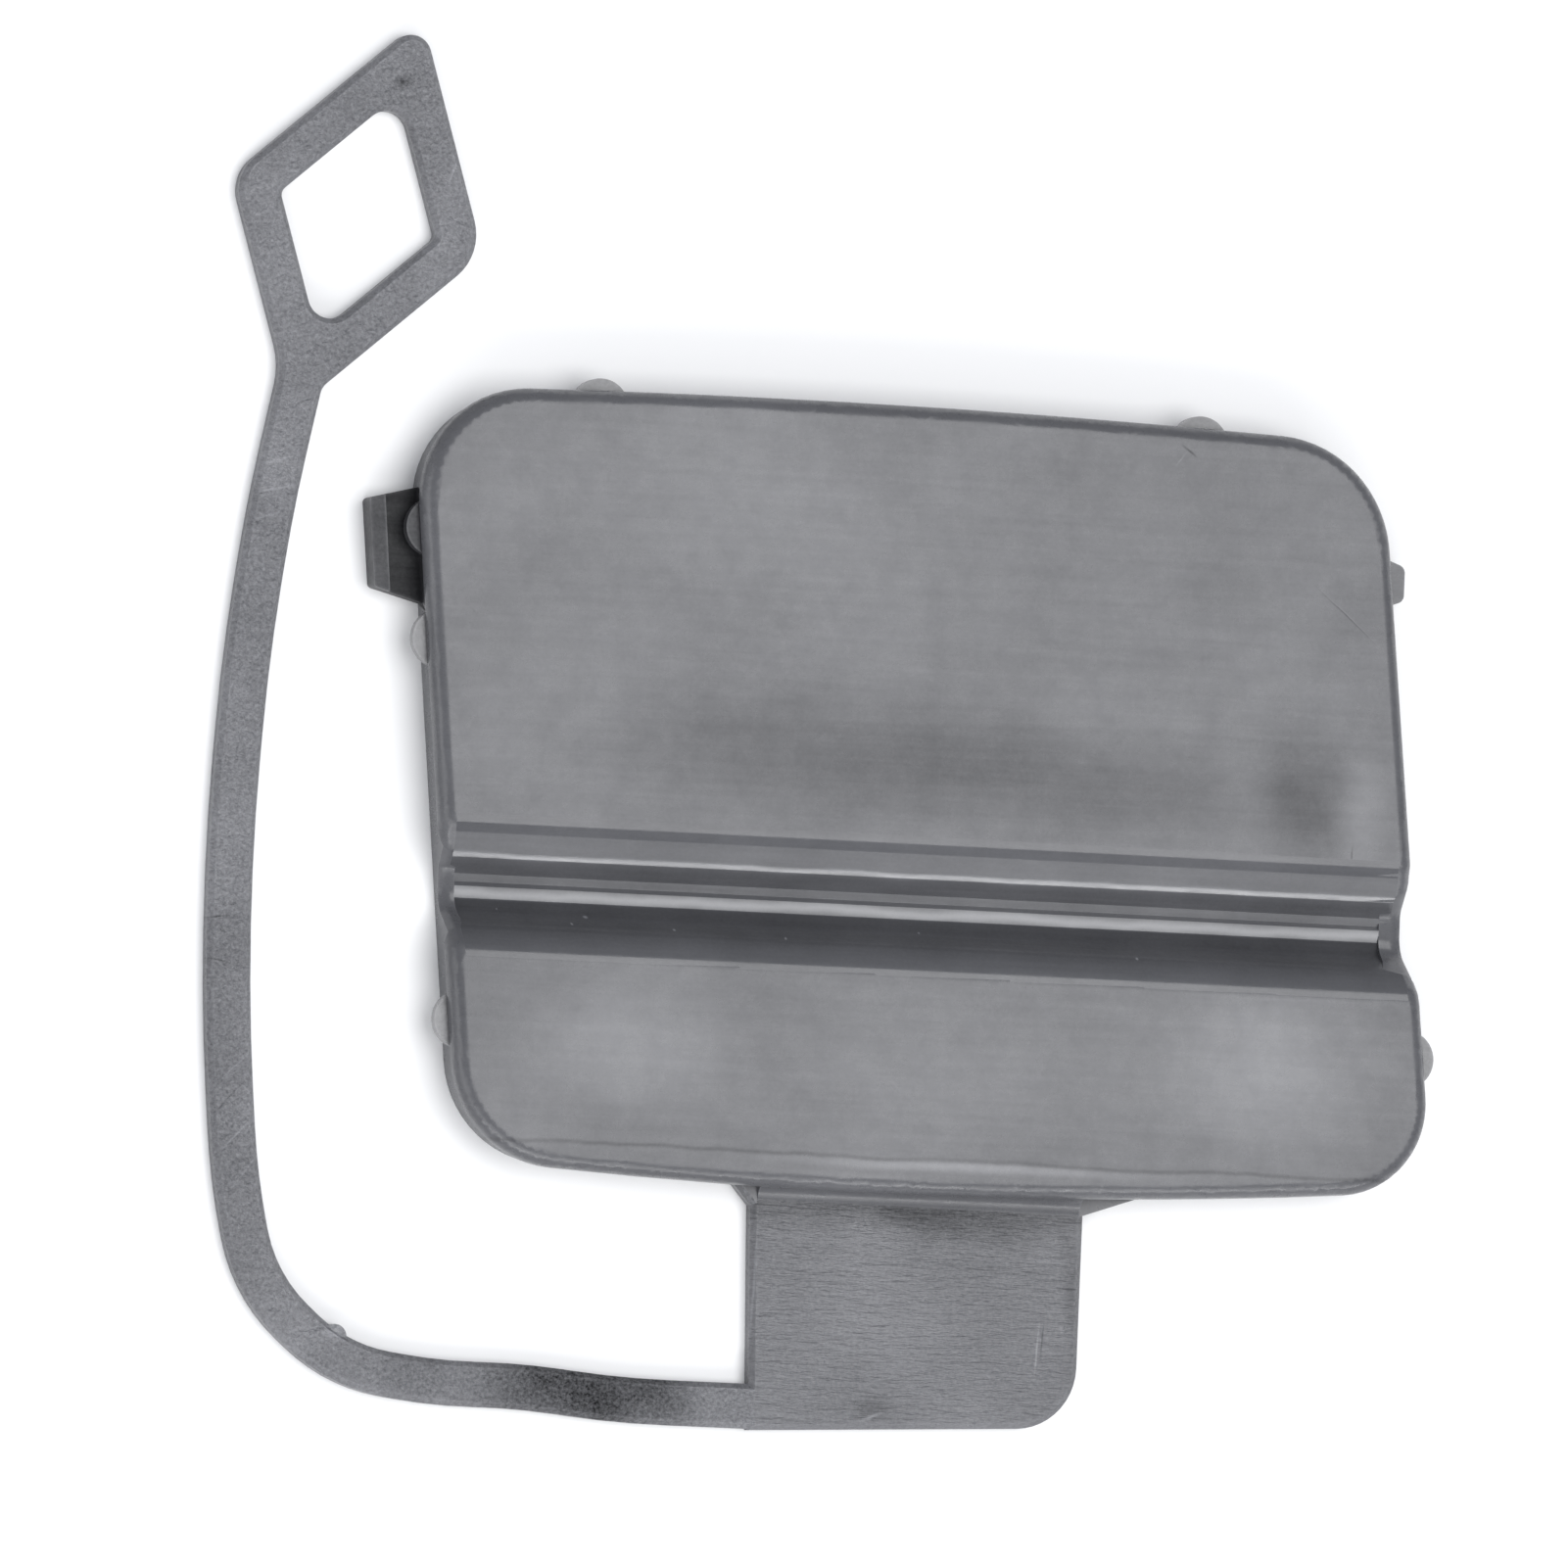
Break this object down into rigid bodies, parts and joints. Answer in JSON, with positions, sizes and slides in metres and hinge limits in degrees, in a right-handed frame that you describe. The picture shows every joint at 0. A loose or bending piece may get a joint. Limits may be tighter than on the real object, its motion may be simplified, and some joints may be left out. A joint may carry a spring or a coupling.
{
  "type": "tow hook cover",
  "caption": "Moulded snap-in cover for a bumper's tow hook opening: slanted lipped plate with a pressed channel, hollow back, tab, and flat strap with a diamond-shaped ring.",
  "frame": {"origin": "middle of the part's outline seen from the front, in the flat plane of its back", "axes": "+X along the channel, away from the strap; +Y up the plate, towards the ring; +Z out of the face"},
  "size_m": [0.1046, 0.1126, 0.0059],
  "materials": {
    "moulded_plastic": "satin"
  },
  "bodies": {
    "root": {"tow_hook_cover": "moulded_plastic"}
  },
  "joints": []
}
